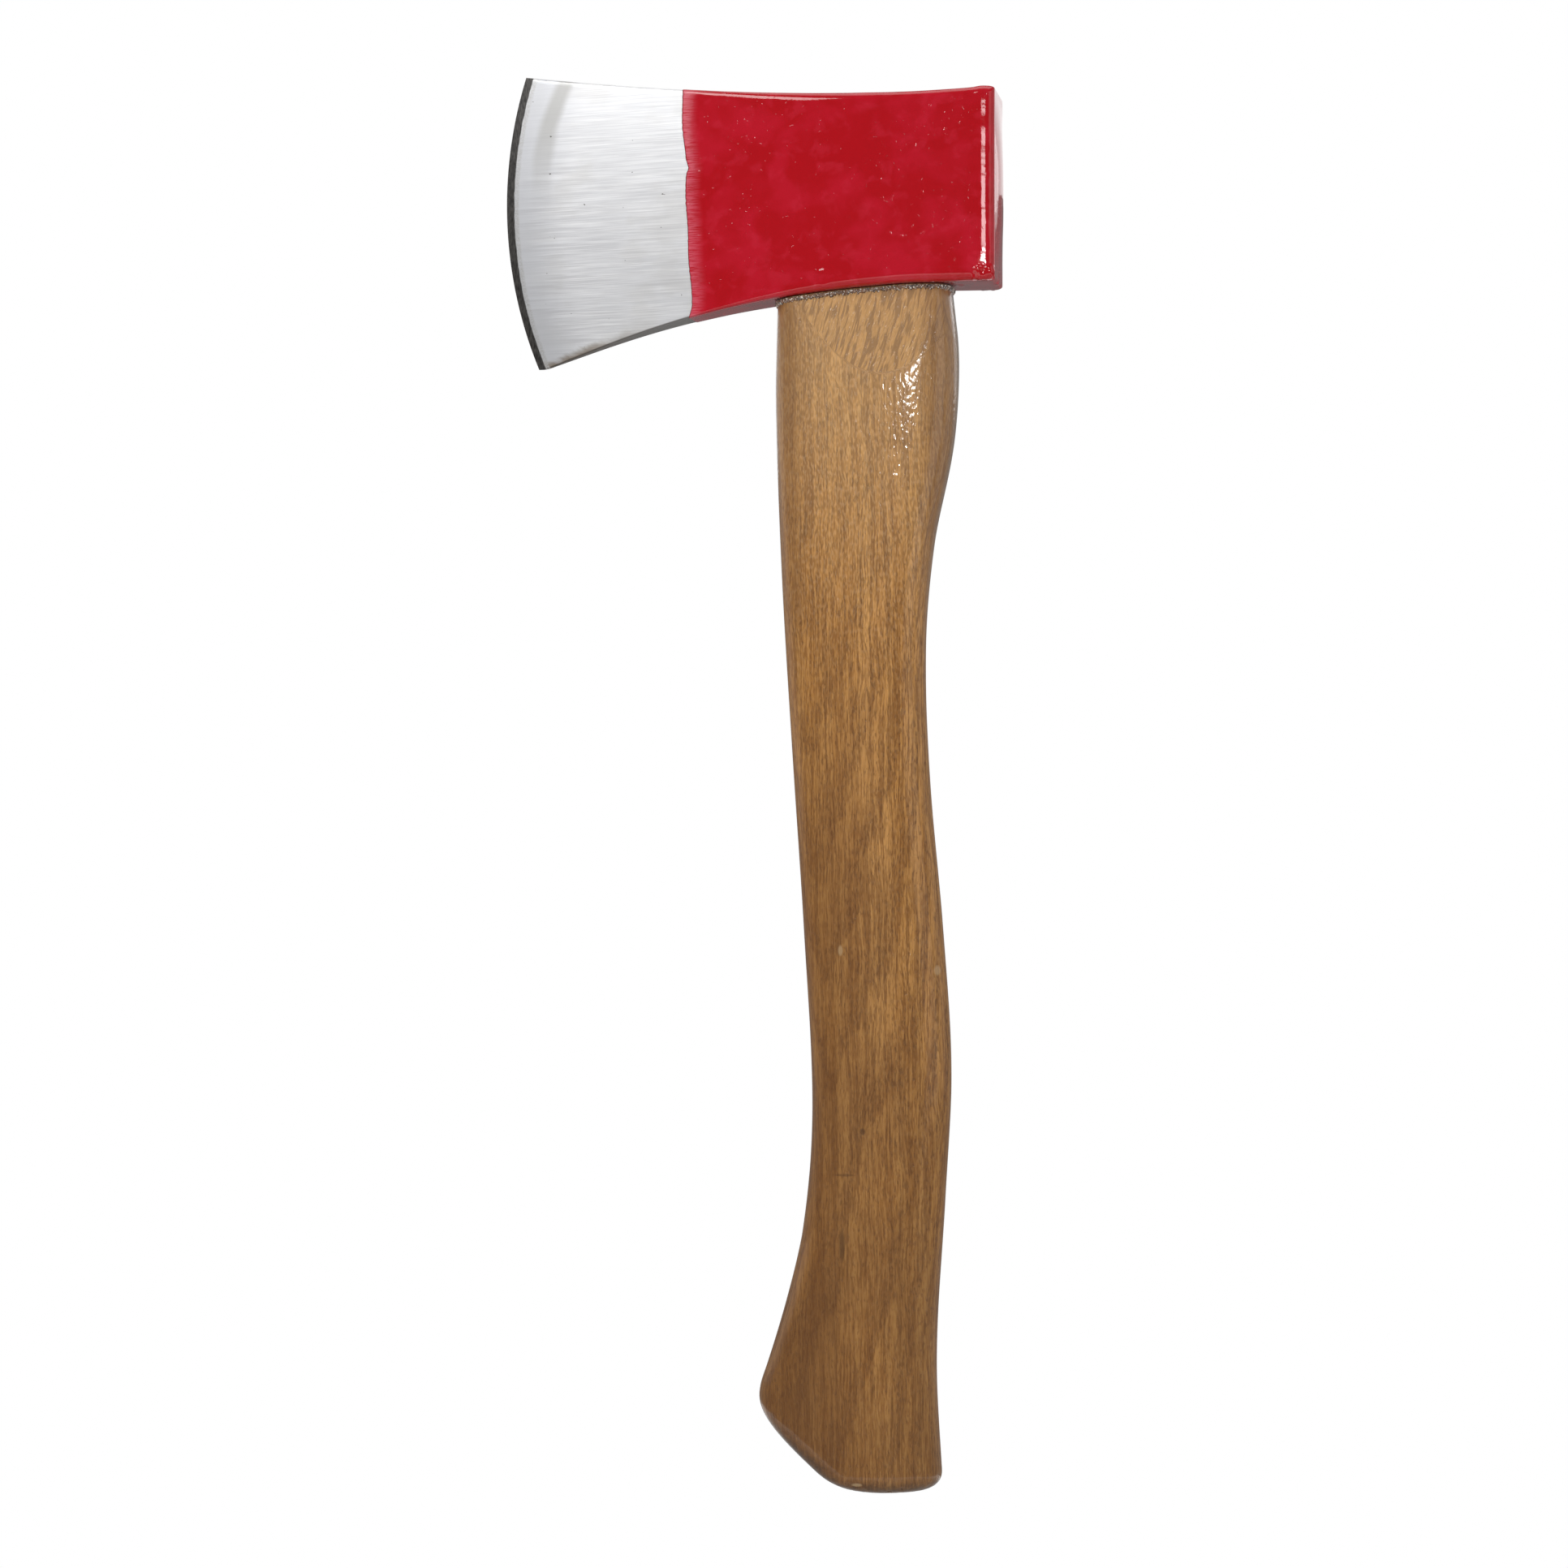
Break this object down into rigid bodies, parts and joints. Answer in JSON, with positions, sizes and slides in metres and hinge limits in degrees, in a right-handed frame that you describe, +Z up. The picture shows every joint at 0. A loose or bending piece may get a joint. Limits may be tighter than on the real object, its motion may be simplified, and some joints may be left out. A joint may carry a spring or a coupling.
{
  "type": "fire axe",
  "caption": "One-hand fire axe: forged head with a curved bit and square hammer poll, red enamel behind bare ground steel, wedged on a curved hickory handle with a slanted butt.",
  "frame": {"origin": "on the flat underside of the poll, midway across the head and midway between the handle and the poll's face, where a wall bracket carries the axe", "axes": "+Z up along the handle towards the head, -X towards the cutting edge and +X towards the hammer face, Y across the head"},
  "size_m": [0.1279, 0.026, 0.3614],
  "materials": {
    "red_enamel": "brushed-on gloss enamel over forged steel, thin and streaky at its front edge, with runs and beads at the corners",
    "ground_steel": "bright steel, ground along the head, with a darker honed bevel at the edge",
    "hickory": "varnished ring-porous hardwood, glossy near the head and worn to satin at the grip",
    "wedge_wood": "sawn end grain, unvarnished",
    "lacquer": "clear brown varnish that ran down and set, rough and glossy"
  },
  "bodies": {
    "root": {"axe_head": "red_enamel", "handle": "hickory", "wood_wedge": "wedge_wood", "front_step_wedge": "ground_steel", "rear_step_wedge": "ground_steel", "lacquer_bead": "lacquer"}
  },
  "joints": []
}
